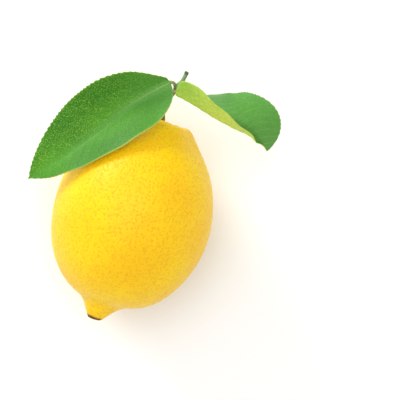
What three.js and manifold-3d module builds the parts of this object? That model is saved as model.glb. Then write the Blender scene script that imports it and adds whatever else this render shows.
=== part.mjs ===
// A lemon as picked, with its calyx, a short piece of twig and two leaves, lying on its side.
// Millimetres, +Z up. The fruit's long axis runs along Y and its stem end points towards +Y.
// The origin is the middle of the small flat spot that the fruit rests on.

import * as THREE from 'three';
import { mergeVertices } from 'three/addons/utils/BufferGeometryUtils.js';
import Module from 'manifold-3d';

// The fruit: a long round body with a furrowed collar at the stem end and a nipple at the other.
const FRUIT_RADIUS = 30;
const FRUIT_HALF_LENGTH = 37.1;
const FLAT_DEPTH = 0.35;
const AXIS_HEIGHT = FRUIT_RADIUS - FLAT_DEPTH;
const BELLY_WAVE = 0.2;
// Waves round the fruit: how many there are, their height and their phase.
const BELLY_WAVES = [[2, 1, 0.5], [3, 1, 2]];
const FURROW_WAVES = [[5, 1, 0.6], [8, 0.6, 2.1], [3, 0.4, 0]];

const COLLAR_RADIUS = 11;
const COLLAR_WIDTH = 4.2;
const COLLAR_HEIGHT = 2.5;
const DISH_WIDTH = 5.2;
const DISH_DEPTH = 0.9;
const FURROW_DEPTH = 0.3;
const FURROW_RADIUS = 13;
const FURROW_REACH = 6;
const FURROW_BLUNTNESS = 4;

const NIPPLE_HEIGHT = 7.1;
const NIPPLE_RADIUS = 5.5;
const NIPPLE_BLUNTNESS = 2.6;
const NECK_RADIUS = 14;
const NECK_DEPTH = 2.2;
const NIPPLE_LEAN = 2.2;
const NIPPLE_LEAN_REACH = 9;
const SCAR_RADIUS = 2;
const SCAR_DEPTH = 0.5;
const SCAR_BLUNTNESS = 4;

const FRUIT_ROWS = 42;
const FRUIT_COLUMNS = 64;
const POLE_CROWDING = 0.55;

// The calyx: the five-lobed button that holds the fruit to its twig.
const CALYX_RADIUS = 3.3;
const CALYX_LOBES = 5;
const CALYX_LOBE_DEPTH = 0.55;
const CALYX_EDGE = 0.45;
const CALYX_CROWN = 1.0;
const CALYX_CROWN_SHARE = 0.55;
const CALYX_RINGS = 5;
const CALYX_COLUMNS = 40;

// Two pieces that touch on the real fruit keep this much air between them.
const JOINT_GAP = 0.3;

// The twig: from the calyx up and past the two leaves to its cut end.
const TWIG_RADII = [1.25, 0.95, 0.9, 1.0, 0.95, 0.8, 0.72];
const TWIG_ROUTE = [
  [-0.3, 38.2, 29.8],
  [-0.7, 42.3, 32.3],
  [0.1, 46.4, 36.4],
  [1.4, 49.3, 39.7],
  [1.9, 51.4, 41.5],
  [3.2, 53.6, 43.3],
  [3.9, 57.2, 45.4],
];
const TWIG_SIDES = 12;
const TWIG_STEPS = 24;

// The leaf stalks, each from inside the twig, which cuts its end to shape, to the foot of its blade.
const STALK_RADII = [0.85, 0.62, 0.6, 0.66];
const STALK_SIDES = 10;
const STALK_STEPS = 10;
const LEFT_STALK_ROUTE = [
  [1.6, 50.0, 40.3],
  [1.1, 51.1, 42.0],
  [0.3, 52.0, 43.6],
  [-0.65, 52.0, 44.55],
];
const RIGHT_STALK_ROUTE = [
  [1.2, 48.7, 39.2],
  [1.9, 49.0, 41.1],
  [2.2, 49.3, 42.6],
  [2.65, 49.3, 43.5],
];

// The blades. Right and left are as seen from the foot, looking towards the tip. A fold is how far
// a half rises from level, in degrees, at even steps from foot to tip. Fullness is how blunt an end
// of the outline is: the lower, the blunter.
const BLADE_THICKNESS = 0.65;
const FOLD_WIDTH = 3;
const BLADE_STEPS = 76;
const BLADE_STRIPS = [0, 0.1, 0.26, 0.6, 1];
const FOLD_STEPS = 24;
const TOOTH_PITCH = 2;
const TOOTH_DEPTH = 0.22;
const FOOT_HALF_WIDTH = 0.5;
const TIP_HALF_WIDTH = 0.3;

const LEFT_LEAF = {
  midrib: [
    [-0.9, 51.7, 44.6],
    [-6.9, 45.8, 44.6],
    [-13.1, 38.8, 45.2],
    [-22.7, 26.0, 45.2],
    [-31.6, 14.4, 43.2],
    [-40.9, 1.9, 38.2],
  ],
  halfWidth: 15.8,
  rightShare: 1,
  leftShare: 0.96,
  footFullness: 0.5,
  rightTipFullness: 0.87,
  leftTipFullness: 0.91,
  rightFold: [72, 37, 17, 8, 12],
  leftFold: [27, 40, 45, 42, 30],
};

const RIGHT_LEAF = {
  midrib: [
    [3.0, 49.2, 43.6],
    [10.4, 47.7, 46.3],
    [18.2, 45.6, 47.8],
    [26.1, 44.1, 47.4],
    [34.2, 43.0, 44.6],
    [41.3, 38.8, 37.5],
  ],
  halfWidth: 14.9,
  rightShare: 1,
  leftShare: 1.1,
  footFullness: 0.42,
  rightTipFullness: 1.5,
  leftTipFullness: 0.52,
  rightFold: [125, 116, 109, 96, 95],
  leftFold: [-92, -64, -47, -16, 1],
};

// Each finish: its colour and its roughness.
const FINISHES = {
  peel: ['#f2c522', 0.42],
  calyx: ['#6f7d3a', 0.75],
  twig: ['#71915f', 0.65],
  stalk: ['#8a9a4c', 0.6],
  upperLeaf: ['#4f9a3c', 0.4],
  foldedLeaf: ['#7fae55', 0.45],
};

const wasm = await Module();
wasm.setup();

// A smooth hill of height 1 round zero.
function hill(distance, width, power = 2) {
  return Math.exp(-((Math.abs(distance) / width) ** power));
}

// A value read off evenly spaced ones, as a smooth curve through them.
function readAlong(values, share) {
  const curve = new THREE.SplineCurve(values.map((value, index) => new THREE.Vector2(index, value)));
  return curve.getPoint(share).y;
}

function sumWaves(waves, turn) {
  return waves.reduce((sum, [count, height, phase]) => sum + height * Math.sin(count * turn + phase), 0);
}

function routeCurve(route) {
  return new THREE.CatmullRomCurve3(route.map((point) => new THREE.Vector3(...point)));
}

function toGeometry(positions, triangles) {
  const geometry = new THREE.BufferGeometry();
  geometry.setAttribute('position', new THREE.Float32BufferAttribute(positions, 3));
  geometry.setIndex(triangles);
  return geometry;
}

// A closed skin of rings between two end points. pointAt gives a ring's point from its row and turn.
function closedSkin(rows, columns, pointAt) {
  const positions = [];
  const triangles = [];
  positions.push(...pointAt(0, 0));
  for (let row = 1; row < rows; row += 1) {
    for (let column = 0; column < columns; column += 1) {
      positions.push(...pointAt(row, (column / columns) * 2 * Math.PI));
    }
  }
  positions.push(...pointAt(rows, 0));
  const last = positions.length / 3 - 1;
  const at = (row, column) => 1 + (row - 1) * columns + (column % columns);
  for (let column = 0; column < columns; column += 1) {
    triangles.push(0, at(1, column), at(1, column + 1));
    for (let row = 1; row < rows - 1; row += 1) {
      triangles.push(at(row, column), at(row + 1, column), at(row + 1, column + 1));
      triangles.push(at(row, column), at(row + 1, column + 1), at(row, column + 1));
    }
    triangles.push(last, at(rows - 1, column + 1), at(rows - 1, column));
  }
  return toGeometry(positions, triangles);
}

// How far the stem end stands out beyond the plain oval: a furrowed collar round a shallow dish.
function stemEndRise(radius, turn) {
  const furrows = FURROW_DEPTH * sumWaves(FURROW_WAVES, turn);
  const collar = COLLAR_HEIGHT * hill(radius - COLLAR_RADIUS, COLLAR_WIDTH);
  const dish = DISH_DEPTH * hill(radius, DISH_WIDTH);
  return collar - dish + furrows * hill(radius - FURROW_RADIUS, FURROW_REACH, FURROW_BLUNTNESS);
}

// The blossom end draws in to a neck and stands out in a blunt nipple with a dry scar at its tip.
function blossomEndRise(radius) {
  const nipple = NIPPLE_HEIGHT * hill(radius, NIPPLE_RADIUS, NIPPLE_BLUNTNESS);
  const scar = SCAR_DEPTH * hill(radius, SCAR_RADIUS, SCAR_BLUNTNESS);
  return nipple - NECK_DEPTH * hill(radius, NECK_RADIUS) - scar;
}

function fruitPoint(row, turn) {
  const share = row / FRUIT_ROWS;
  const polar = Math.PI * share - (POLE_CROWDING / 2) * Math.sin(2 * Math.PI * share);
  const radius = FRUIT_RADIUS * Math.sin(polar);
  const belly = Math.sin(polar) ** 2 * BELLY_WAVE * sumWaves(BELLY_WAVES, turn);
  let along = FRUIT_HALF_LENGTH * Math.cos(polar);
  let lean = 0;
  if (polar < Math.PI / 2) {
    along += stemEndRise(radius, turn);
  } else {
    along -= blossomEndRise(radius);
    lean = NIPPLE_LEAN * hill(radius, NIPPLE_LEAN_REACH);
  }
  const reach = radius + belly;
  return [reach * Math.sin(turn) - lean, along, AXIS_HEIGHT + reach * Math.cos(turn)];
}

function toSolid(geometry) {
  const bare = geometry.clone();
  bare.deleteAttribute('normal');
  bare.deleteAttribute('uv');
  const merged = mergeVertices(bare);
  return new wasm.Manifold(new wasm.Mesh({
    numProp: 3,
    vertProperties: new Float32Array(merged.attributes.position.array),
    triVerts: new Uint32Array(merged.index.array),
  }));
}

function fromSolid(solid) {
  const mesh = solid.getMesh();
  return toGeometry(Array.from(mesh.vertProperties), Array.from(mesh.triVerts));
}

// The whole fruit, with its belly cut level at Z = 0.
function makeFruit() {
  const underside = new THREE.BoxGeometry(4 * FRUIT_RADIUS, 4 * FRUIT_RADIUS, FRUIT_RADIUS);
  underside.translate(0, 0, -FRUIT_RADIUS / 2);
  const whole = toSolid(closedSkin(FRUIT_ROWS, FRUIT_COLUMNS, fruitPoint));
  return fromSolid(whole.subtract(toSolid(underside)));
}

// The height of the dish floor along Y, which the calyx follows.
function dishFloor(radius) {
  const oval = FRUIT_HALF_LENGTH * Math.sqrt(1 - (radius / FRUIT_RADIUS) ** 2);
  const collar = COLLAR_HEIGHT * hill(radius - COLLAR_RADIUS, COLLAR_WIDTH);
  return oval + collar - DISH_DEPTH * hill(radius, DISH_WIDTH);
}

function makeCalyx() {
  const rows = 2 * CALYX_RINGS;
  return closedSkin(rows, CALYX_COLUMNS, (row, turn) => {
    const share = Math.min(row, rows - row) / CALYX_RINGS;
    const edge = CALYX_RADIUS + CALYX_LOBE_DEPTH * Math.cos(CALYX_LOBES * turn);
    const radius = edge * share;
    const floor = dishFloor(radius) + JOINT_GAP;
    const thickness = CALYX_EDGE + CALYX_CROWN * hill(share, CALYX_CROWN_SHARE);
    const along = row <= CALYX_RINGS ? floor + thickness : floor;
    return [radius * Math.sin(turn), along, AXIS_HEIGHT + radius * Math.cos(turn)];
  });
}

// A round stem along a route, closed at both ends, with its radius read along it.
function makeStem(route, radii, sides, steps, extra = 0) {
  const curve = routeCurve(route);
  const frames = curve.computeFrenetFrames(steps, false);
  const rows = steps + 2;
  return closedSkin(rows, sides, (row, turn) => {
    const step = THREE.MathUtils.clamp(row - 1, 0, steps);
    const centre = curve.getPointAt(step / steps);
    if (row > 0 && row < rows) {
      const radius = readAlong(radii, step / steps) + extra;
      centre.addScaledVector(frames.normals[step], radius * Math.cos(turn));
      centre.addScaledVector(frames.binormals[step], -radius * Math.sin(turn));
    }
    return centre.toArray();
  });
}

function makeTwig(extra = 0) {
  return makeStem(TWIG_ROUTE, TWIG_RADII, TWIG_SIDES, TWIG_STEPS, extra);
}

// A leaf stalk, cut where it meets the twig to the twig's own shape, a joint's gap away from it.
function makeStalk(route) {
  const whole = toSolid(makeStem(route, STALK_RADII, STALK_SIDES, STALK_STEPS));
  return fromSolid(whole.subtract(toSolid(makeTwig(JOINT_GAP))));
}

// The outline of a blade: its half width at a share of its length, 1 at the widest place.
function bladeOutline(share, footFullness, tipFullness) {
  const widest = footFullness / (footFullness + tipFullness);
  const shape = (place) => place ** footFullness * (1 - place) ** tipFullness;
  return shape(share) / shape(widest);
}

// One half of a blade at one station: points from the midrib out to the toothed margin, and the
// directions square to the blade there. side is 1 for the right half seen from the foot, -1 for the left.
function bladeRib(centre, across, up, halfWidth, fold, side) {
  const points = [];
  const normals = [];
  const point = centre.clone();
  let walked = 0;
  for (const strip of BLADE_STRIPS) {
    const target = Math.round(strip * FOLD_STEPS);
    while (walked < target) {
      const out = ((walked + 0.5) / FOLD_STEPS) * halfWidth;
      const angle = fold * THREE.MathUtils.smoothstep(out, 0, Math.min(FOLD_WIDTH, halfWidth));
      point.addScaledVector(across, side * Math.cos(angle) * (halfWidth / FOLD_STEPS));
      point.addScaledVector(up, Math.sin(angle) * (halfWidth / FOLD_STEPS));
      walked += 1;
    }
    const angle = fold * THREE.MathUtils.smoothstep(strip * halfWidth, 0, Math.min(FOLD_WIDTH, halfWidth));
    points.push(point.clone());
    normals.push(up.clone().multiplyScalar(Math.cos(angle)).addScaledVector(across, -side * Math.sin(angle)));
  }
  return { points, normals };
}

// A whole blade: two folded halves on one midrib, of even thickness, closed along its rim.
function makeBlade(leaf) {
  const curve = routeCurve(leaf.midrib);
  const world = new THREE.Vector3(0, 0, 1);
  const upper = [];
  const lower = [];
  for (let step = 0; step <= BLADE_STEPS; step += 1) {
    const share = step / BLADE_STEPS;
    const centre = curve.getPointAt(share);
    const ahead = curve.getTangentAt(share);
    const across = new THREE.Vector3().crossVectors(ahead, world).normalize();
    const up = new THREE.Vector3().crossVectors(across, ahead);
    const least = THREE.MathUtils.lerp(FOOT_HALF_WIDTH, TIP_HALF_WIDTH, share);
    const tooth = step % TOOTH_PITCH === 0 ? TOOTH_DEPTH : 0;
    const halves = [
      [leaf.leftFold, leaf.leftShare, leaf.leftTipFullness, -1],
      [leaf.rightFold, leaf.rightShare, leaf.rightTipFullness, 1],
    ].map(([folds, widthShare, tipFullness, side]) => {
      const plain = leaf.halfWidth * widthShare * bladeOutline(share, leaf.footFullness, tipFullness);
      const width = Math.max(plain - tooth, least);
      const fold = THREE.MathUtils.degToRad(readAlong(folds, share));
      return bladeRib(centre, across, up, width, fold, side);
    });
    const points = [...halves[0].points.reverse(), ...halves[1].points.slice(1)];
    const normals = [...halves[0].normals.reverse(), ...halves[1].normals.slice(1)];
    upper.push(points.map((point, i) => point.clone().addScaledVector(normals[i], BLADE_THICKNESS / 2)));
    lower.push(points.map((point, i) => point.clone().addScaledVector(normals[i], -BLADE_THICKNESS / 2)));
  }
  return closedSheet(upper, lower);
}

// Two like grids of points, joined round their rim. Both faces are split into triangles alike.
function closedSheet(upper, lower) {
  const rows = upper.length;
  const columns = upper[0].length;
  const positions = [...upper.flat(), ...lower.flat()].flatMap((point) => point.toArray());
  const triangles = [];
  const top = (row, column) => row * columns + column;
  const under = (row, column) => rows * columns + row * columns + column;
  for (let row = 0; row < rows - 1; row += 1) {
    for (let column = 0; column < columns - 1; column += 1) {
      const corners = [[row, column], [row, column + 1], [row + 1, column + 1], [row + 1, column]];
      const [a, b, c, d] = corners.map((corner) => top(...corner));
      const [e, f, g, h] = corners.map((corner) => under(...corner));
      triangles.push(a, b, c, a, c, d);
      triangles.push(e, g, f, e, h, g);
    }
    const right = columns - 1;
    triangles.push(top(row, 0), top(row + 1, 0), under(row + 1, 0));
    triangles.push(top(row, 0), under(row + 1, 0), under(row, 0));
    triangles.push(top(row, right), under(row, right), under(row + 1, right));
    triangles.push(top(row, right), under(row + 1, right), top(row + 1, right));
  }
  for (let column = 0; column < columns - 1; column += 1) {
    const end = rows - 1;
    triangles.push(top(0, column), under(0, column), under(0, column + 1));
    triangles.push(top(0, column), under(0, column + 1), top(0, column + 1));
    triangles.push(top(end, column), under(end, column + 1), under(end, column));
    triangles.push(top(end, column), top(end, column + 1), under(end, column + 1));
  }
  return toGeometry(positions, triangles);
}

function addPiece(group, name, geometry, [colour, roughness]) {
  geometry.computeVertexNormals();
  const material = new THREE.MeshStandardMaterial({ color: colour, roughness, metalness: 0 });
  const mesh = new THREE.Mesh(geometry, material);
  mesh.name = name;
  group.add(mesh);
}

const lemon = new THREE.Group();
lemon.name = 'lemon';
addPiece(lemon, 'fruit', makeFruit(), FINISHES.peel);
addPiece(lemon, 'calyx', makeCalyx(), FINISHES.calyx);
addPiece(lemon, 'twig', makeTwig(), FINISHES.twig);
addPiece(lemon, 'stalk_left', makeStalk(LEFT_STALK_ROUTE), FINISHES.stalk);
addPiece(lemon, 'stalk_right', makeStalk(RIGHT_STALK_ROUTE), FINISHES.stalk);
addPiece(lemon, 'leaf_left', makeBlade(LEFT_LEAF), FINISHES.upperLeaf);
addPiece(lemon, 'leaf_right', makeBlade(RIGHT_LEAF), FINISHES.foldedLeaf);

export default lemon;
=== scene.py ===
# %% [markdown]
# # A picked lemon with its calyx, twig and two leaves
#
# The lemon lies on its side on a pale table, and the camera looks down on it. Every piece here follows the
# same sizes as the solid part behind it, so the script starts by loading that part as a fixed frame. The
# sizes of the pieces are written in millimetres, as a maker would say them, and turned into metres by MM.

import math

import bpy
import numpy as np
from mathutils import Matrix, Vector


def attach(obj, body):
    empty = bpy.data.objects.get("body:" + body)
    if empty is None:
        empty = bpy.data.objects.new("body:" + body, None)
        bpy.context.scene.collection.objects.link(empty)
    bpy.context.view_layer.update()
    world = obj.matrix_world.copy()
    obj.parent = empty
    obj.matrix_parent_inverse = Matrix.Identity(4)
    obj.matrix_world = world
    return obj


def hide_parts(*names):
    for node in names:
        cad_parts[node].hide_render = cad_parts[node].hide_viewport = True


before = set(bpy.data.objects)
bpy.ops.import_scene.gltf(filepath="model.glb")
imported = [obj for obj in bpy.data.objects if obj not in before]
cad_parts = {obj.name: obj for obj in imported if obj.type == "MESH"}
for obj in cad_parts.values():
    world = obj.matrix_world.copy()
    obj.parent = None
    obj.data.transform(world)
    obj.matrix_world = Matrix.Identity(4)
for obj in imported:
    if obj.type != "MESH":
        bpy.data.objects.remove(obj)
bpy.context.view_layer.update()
MM = 0.001
print("nodes", sorted(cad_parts))

# %% [markdown]
# ## Small helpers
#
# A mesh is made from an array of points and a list of faces, and a value can be kept at each point as an
# attribute, which the materials read later. A smooth hill, 1 in the middle and fading to 0, shapes almost
# every bump and hollow of a fruit, so it gets a short name.

# %% Mesh helpers
def hill(distance, width, power=2):
    return np.exp(-((np.abs(distance) / width) ** power))


def smooth_step(value, low, high):
    share = np.clip((value - low) / (high - low), 0, 1)
    return share * share * (3 - 2 * share)


def make_piece(name, points_mm, faces, **values):
    mesh = bpy.data.meshes.new(name)
    mesh.from_pydata((np.asarray(points_mm) * MM).tolist(), [], faces)
    mesh.shade_smooth()
    for key, per_point in values.items():
        layer = mesh.attributes.new(key, "FLOAT", "POINT")
        layer.data.foreach_set("value", np.asarray(per_point, dtype=np.float32).ravel())
    piece = bpy.data.objects.new(name, mesh)
    bpy.context.scene.collection.objects.link(piece)
    print(name, len(mesh.vertices), "points", len(mesh.polygons), "faces")
    return piece


print("a hill is", hill(0, 1), "in its middle and", round(float(hill(1, 1)), 2), "at its width")

# %% [markdown]
# A round skin is a stack of rings between two poles. The poles are closed with fans of triangles, so that no
# hole is left.

# %% Faces of a round skin
def skin_faces(rings, columns):
    def at(ring, column):
        return 1 + ring * columns + column % columns

    last = 1 + rings * columns
    faces = []
    for column in range(columns):
        faces.append((0, at(0, column), at(0, column + 1)))
        for ring in range(rings - 1):
            here, there = at(ring, column), at(ring, column + 1)
            faces.append((here, at(ring + 1, column), at(ring + 1, column + 1), there))
        faces.append((last, at(rings - 1, column + 1), at(rings - 1, column)))
    return faces


def skin_points(rows):
    """rows: rings by columns by 3, whose first and last rings are drawn in to a pole."""
    return np.concatenate([rows[0].mean(0)[None], rows[1:-1].reshape(-1, 3), rows[-1].mean(0)[None]])


def skin_values(rows):
    return np.concatenate([rows[:1, 0], rows[1:-1].ravel(), rows[-1:, 0]])


print("a skin of 2 rings by 3 has", len(skin_faces(2, 3)), "faces")

# %% [markdown]
# ## Colour effects that several materials share
#
# A shader node group is built once and placed in each material with its own values. The first mixes two
# colours by a cloudy noise, which keeps any natural skin from looking like paint. The second makes a field of
# small round spots: the oil glands of the peel, the glands of a leaf and the corky dots of a twig are all the
# same thing at another size.

# %% Node helpers
def add_node(tree, kind, links=None, **settings):
    node = tree.nodes.new(kind)
    for key, value in settings.items():
        setattr(node, key, value)
    for socket, value in (links or {}).items():
        if isinstance(value, bpy.types.NodeSocket):
            tree.links.new(value, node.inputs[socket])
        else:
            node.inputs[socket].default_value = value
    return node


def calculate(tree, operation, first, second):
    return add_node(tree, "ShaderNodeMath", {0: first, 1: second}, operation=operation).outputs[0]


def ramp(tree, value, low, high, first=0.0, second=1.0, curve="LINEAR"):
    """From first to second as value goes from low to high."""
    links = {0: value, 1: low, 2: high, 3: first, 4: second}
    return add_node(tree, "ShaderNodeMapRange", links, interpolation_type=curve).outputs[0]


def fade(tree, value, low, high, first, second):
    """The same with no sharp start or end."""
    return ramp(tree, value, low, high, first, second, "SMOOTHSTEP")


def mix_colours(tree, share, first, second):
    links = {"Factor": share, 6: first, 7: second}
    return add_node(tree, "ShaderNodeMix", links, data_type="RGBA").outputs[2]


def new_group(name, inputs, outputs):
    group = bpy.data.node_groups.new(name, "ShaderNodeTree")
    for side, sockets in (("INPUT", inputs), ("OUTPUT", outputs)):
        for label, kind in sockets:
            group.interface.new_socket(label, in_out=side, socket_type="NodeSocket" + kind)
    return group, group.nodes.new("NodeGroupInput"), group.nodes.new("NodeGroupOutput")


print("helpers for nodes are ready")

# %% [markdown]
# The two shared groups are built from these helpers. A cloud's noise is stretched between a low and a high
# value, so that it reaches both colours.

# %% Two shared groups
CLOUD_LOW, CLOUD_HIGH = 0.35, 0.65


def build_mottle():
    inputs = [("Vector", "Vector"), ("Scale", "Float"), ("First", "Color"), ("Second", "Color")]
    group, start, end = new_group("Mottle", inputs, [("Color", "Color"), ("Cloud", "Float")])
    links = {"Vector": start.outputs["Vector"], "Scale": start.outputs["Scale"], "Detail": 4.0}
    cloud = add_node(group, "ShaderNodeTexNoise", links).outputs["Fac"]
    share = ramp(group, cloud, CLOUD_LOW, CLOUD_HIGH)
    colour = mix_colours(group, share, start.outputs["First"], start.outputs["Second"])
    group.links.new(colour, end.inputs["Color"])
    group.links.new(share, end.inputs["Cloud"])
    return group


def build_spots():
    inputs = [("Vector", "Vector"), ("Scale", "Float"), ("Size", "Float")]
    group, start, end = new_group("Spots", inputs, [("Spots", "Float"), ("Height", "Float")])
    links = {"Vector": start.outputs["Vector"], "Scale": start.outputs["Scale"]}
    distance = add_node(group, "ShaderNodeTexVoronoi", links).outputs["Distance"]
    spots = fade(group, distance, 0.0, start.outputs["Size"], 1.0, 0.0)
    group.links.new(spots, end.inputs["Spots"])
    group.links.new(calculate(group, "SUBTRACT", 1.0, spots), end.inputs["Height"])
    return group


MOTTLE = build_mottle()
SPOTS = build_spots()
print("shared groups", MOTTLE.name, SPOTS.name)

# %% [markdown]
# Every material starts from one Principled shader. Numbers that are the same all over are set on its own
# sockets, and only what changes over the surface is linked to it.

# %% Material helpers
def new_material(name, colour, **constants):
    material = bpy.data.materials.new(name)
    material.use_nodes = True
    material.diffuse_color = (*colour, 1)
    shader = material.node_tree.nodes["Principled BSDF"]
    shader.inputs["Base Color"].default_value = (*colour, 1)
    for socket, value in constants.items():
        shader.inputs[socket.replace("_", " ")].default_value = value
    place = material.node_tree.nodes.new("ShaderNodeTexCoord").outputs["Object"]
    return material, material.node_tree, shader, place


def use_group(tree, group, **links):
    return add_node(tree, "ShaderNodeGroup", links, node_tree=group)


def read_value(tree, name):
    return add_node(tree, "ShaderNodeAttribute", attribute_name=name).outputs["Fac"]


def add_bump(tree, shader, height, distance_mm, strength):
    links = {"Height": height, "Distance": distance_mm * MM, "Strength": strength}
    bump = add_node(tree, "ShaderNodeBump", links)
    tree.links.new(bump.outputs["Normal"], shader.inputs["Normal"])


print("helpers for materials are ready")

# %% [markdown]
# ## The fruit
#
# A lemon is a long round body. Its stem end rises in a furrowed collar round a shallow dish, and its blossom
# end draws in to a neck and stands out in a blunt nipple. It could be sculpted, but the shape follows a rule,
# so the rule is written down: an oval, with hills added near its two ends. The fine furrows and the low
# swellings that make it look grown are sums of waves round the fruit.

# %% Sizes of the fruit
FRUIT_RADIUS = 30
FRUIT_HALF_LENGTH = 37.1
FLAT_DEPTH = 0.35
AXIS_HEIGHT = FRUIT_RADIUS - FLAT_DEPTH
COLLAR_RADIUS, COLLAR_WIDTH, COLLAR_HEIGHT = 11, 4.2, 2.5
DISH_WIDTH, DISH_DEPTH = 5.2, 0.9
NIPPLE_HEIGHT, NIPPLE_RADIUS, NIPPLE_BLUNTNESS = 7.1, 5.5, 2.6
NECK_DEPTH, NECK_RADIUS = 2.2, 14
NIPPLE_LEAN, NIPPLE_LEAN_REACH = 2.2, 9
SCAR_DEPTH, SCAR_RADIUS = 0.5, 2
FURROW_HEIGHT, FURROW_RADIUS, FURROW_WIDTH = 0.3, 13, 6
CREASE_HEIGHT, CREASE_RADIUS, CREASE_WIDTH = 0.14, 8.5, 5
WRINKLE_HEIGHT, WRINKLE_RADIUS, WRINKLE_WIDTH = 0.11, 6.2, 2.6
SWELL_HEIGHT, LUMP_HEIGHT, SLANTED_LUMP_HEIGHT = 0.2, 0.1, 0.08
BAND = 4
FRUIT_RINGS, FRUIT_COLUMNS = 232, 400
RING_CROWDING = 0.12
print("fruit", 2 * FRUIT_RADIUS, "mm across")

# %% [markdown]
# Each wave says how many times it goes round the fruit, where it starts and how high it is. Counts such as 5,
# 8 and 3 seldom peak together, so no two furrows are alike. Band is the power of a hill with a flat top and
# steep sides, which keeps the waves in their own ring.

# %% The rule of the fruit's shape
def waves(turn, *terms):
    """A sum of waves round the fruit, each given as its count, its start and its height."""
    return sum(height * np.sin(count * turn + start) for count, start, height in terms)


def stem_end_rise(radius, turn):
    furrows = waves(turn, (5, 0.6, 1), (8, 2.1, 0.6), (3, 0, 0.4))
    creases = waves(turn, (13, 1.1 + radius / 3, 0.5), (21, 0.4, 0.35))
    collar = COLLAR_HEIGHT * hill(radius - COLLAR_RADIUS, COLLAR_WIDTH)
    dish = DISH_DEPTH * hill(radius, DISH_WIDTH)
    furrowed = FURROW_HEIGHT * furrows * hill(radius - FURROW_RADIUS, FURROW_WIDTH, BAND)
    creased = CREASE_HEIGHT * creases * hill(radius - CREASE_RADIUS, CREASE_WIDTH, BAND)
    return collar - dish + furrowed + creased


def blossom_end_rise(radius, turn):
    nipple = NIPPLE_HEIGHT * hill(radius, NIPPLE_RADIUS, NIPPLE_BLUNTNESS)
    neck = NECK_DEPTH * hill(radius, NECK_RADIUS)
    scar = SCAR_DEPTH * hill(radius, SCAR_RADIUS, BAND)
    wrinkles = waves(turn, (7, 0.8, 1), (11, radius, 0.7))
    wrinkled = WRINKLE_HEIGHT * wrinkles * hill(radius - WRINKLE_RADIUS, WRINKLE_WIDTH, BAND)
    return nipple - neck - scar + wrinkled


def fruit_points():
    share = np.linspace(0, 1, FRUIT_RINGS)[:, None]
    polar = np.pi * share - RING_CROWDING * np.sin(2 * np.pi * share)
    turn = np.arange(FRUIT_COLUMNS)[None] / FRUIT_COLUMNS * 2 * np.pi
    radius = FRUIT_RADIUS * np.sin(polar) + 0 * turn
    swell = SWELL_HEIGHT * waves(turn, (2, 0.5, 1), (3, 2, 1))
    lumps = waves(turn, (5, 4 * polar, LUMP_HEIGHT), (7, 1 - 6 * polar, SLANTED_LUMP_HEIGHT))
    reach = radius + np.sin(polar) ** 2 * (swell + lumps)
    along = FRUIT_HALF_LENGTH * np.cos(polar)
    stem_side = polar + 0 * turn < np.pi / 2
    along = along + np.where(stem_side, stem_end_rise(radius, turn), -blossom_end_rise(radius, turn))
    lean = np.where(stem_side, 0, NIPPLE_LEAN * hill(radius, NIPPLE_LEAN_REACH))
    height = AXIS_HEIGHT + reach * np.cos(turn)
    return np.stack([reach * np.sin(turn) - lean, along, np.maximum(height, 0)], axis=-1)


fruit_rows = fruit_points()
fruit_faces = skin_faces(FRUIT_RINGS - 2, FRUIT_COLUMNS)
fruit = make_piece("fruit_peel", skin_points(fruit_rows), fruit_faces)

# %% [markdown]
# ## Pores in the peel
#
# The peel is dotted with oil glands about 1.3 mm apart, and each one sinks in a little. There are thousands,
# so they are made by a rule. A Geometry Nodes tree reads the distance to the nearest gland from a Voronoi
# texture and pushes each point inwards near a gland. The material reads the same texture, so that its darker
# dots fall in these hollows.

# %% Geometry Nodes for the pores
PORE_SCALE = 960.0
PORE_SIZE = 0.62
PORE_DEPTH = 0.12


def new_tree(name, inputs):
    tree = bpy.data.node_groups.new(name, "GeometryNodeTree")
    tree.interface.new_socket("Geometry", in_out="INPUT", socket_type="NodeSocketGeometry")
    for label, kind in inputs:
        tree.interface.new_socket(label, in_out="INPUT", socket_type="NodeSocket" + kind)
    tree.interface.new_socket("Geometry", in_out="OUTPUT", socket_type="NodeSocketGeometry")
    return tree, tree.nodes.new("NodeGroupInput"), tree.nodes.new("NodeGroupOutput")


def end_tree(tree, geometry, material, end):
    whole = add_node(tree, "GeometryNodeRealizeInstances", {"Geometry": geometry}).outputs[0]
    links = {"Geometry": whole, "Material": material}
    dressed = add_node(tree, "GeometryNodeSetMaterial", links).outputs[0]
    tree.links.new(dressed, end.inputs["Geometry"])


def push_out(tree, geometry, distance):
    """Move each point along its normal."""
    normal = tree.nodes.new("GeometryNodeInputNormal").outputs[0]
    links = {0: normal, "Scale": distance}
    offset = add_node(tree, "ShaderNodeVectorMath", links, operation="SCALE").outputs[0]
    links = {"Geometry": geometry, "Offset": offset}
    return add_node(tree, "GeometryNodeSetPosition", links).outputs[0]


def build_pores():
    inputs = [("Spacing Scale", "Float"), ("Pore Size", "Float"), ("Pore Depth", "Float")]
    tree, start, end = new_tree("Pores", inputs + [("Material", "Material")])
    place = tree.nodes.new("GeometryNodeInputPosition").outputs[0]
    links = {"Vector": place, "Scale": start.outputs["Spacing Scale"]}
    distance = add_node(tree, "ShaderNodeTexVoronoi", links).outputs["Distance"]
    spot = fade(tree, distance, 0.0, start.outputs["Pore Size"], 1.0, 0.0)
    sink = calculate(tree, "MULTIPLY", spot, start.outputs["Pore Depth"])
    inward = calculate(tree, "MULTIPLY", sink, -1.0)
    moved = push_out(tree, start.outputs["Geometry"], inward)
    end_tree(tree, moved, start.outputs["Material"], end)
    return tree


PORES = build_pores()
print("pores tree", len(PORES.nodes), "nodes")

# %% [markdown]
# The peel is waxy: light goes a little way in and comes back yellow, and the surface shines softly. Its
# colour drifts between a clear yellow and a warmer one, the glands are darker and more orange, the tip of the
# nipple ends in a dry brown scar, and round the calyx the skin is a little green.

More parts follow.
